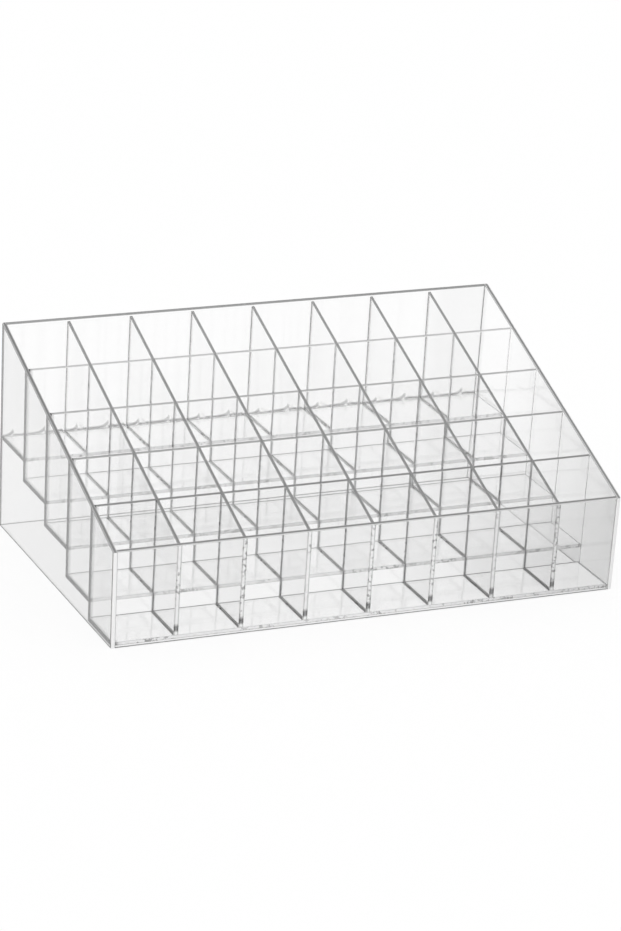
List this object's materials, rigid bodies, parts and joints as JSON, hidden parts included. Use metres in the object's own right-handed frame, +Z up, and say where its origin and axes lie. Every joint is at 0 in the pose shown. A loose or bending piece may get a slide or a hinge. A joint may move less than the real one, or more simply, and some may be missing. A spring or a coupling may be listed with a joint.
{
  "type": "vanity organizer",
  "caption": "Clear stepped organizer for lipsticks and small cosmetics, with open compartments in rows that rise to the back.",
  "frame": {"origin": "middle of the footprint, on the surface that the organizer stands on", "axes": "+X to the right seen from the front, +Y to the high back, +Z up"},
  "size_m": [0.225, 0.1354, 0.0902],
  "materials": {
    "clear_outer_panel": "clear, polished",
    "clear_floor": "clear, polished",
    "clear_cross_divider": "clear, polished",
    "clear_long_divider": "clear, polished"
  },
  "bodies": {
    "root": {"end_panel_left": "clear_outer_panel", "end_panel_right": "clear_outer_panel", "front_panel": "clear_outer_panel", "rear_panel": "clear_outer_panel", "floor_1": "clear_floor", "floor_2": "clear_floor", "floor_3": "clear_floor", "floor_4": "clear_floor", "floor_5": "clear_floor", "cross_divider_1": "clear_cross_divider", "cross_divider_2": "clear_cross_divider", "cross_divider_3": "clear_cross_divider", "cross_divider_4": "clear_cross_divider", "long_divider_1": "clear_long_divider", "long_divider_2": "clear_long_divider", "long_divider_3": "clear_long_divider", "long_divider_4": "clear_long_divider", "long_divider_5": "clear_long_divider", "long_divider_6": "clear_long_divider", "long_divider_7": "clear_long_divider"}
  },
  "joints": []
}
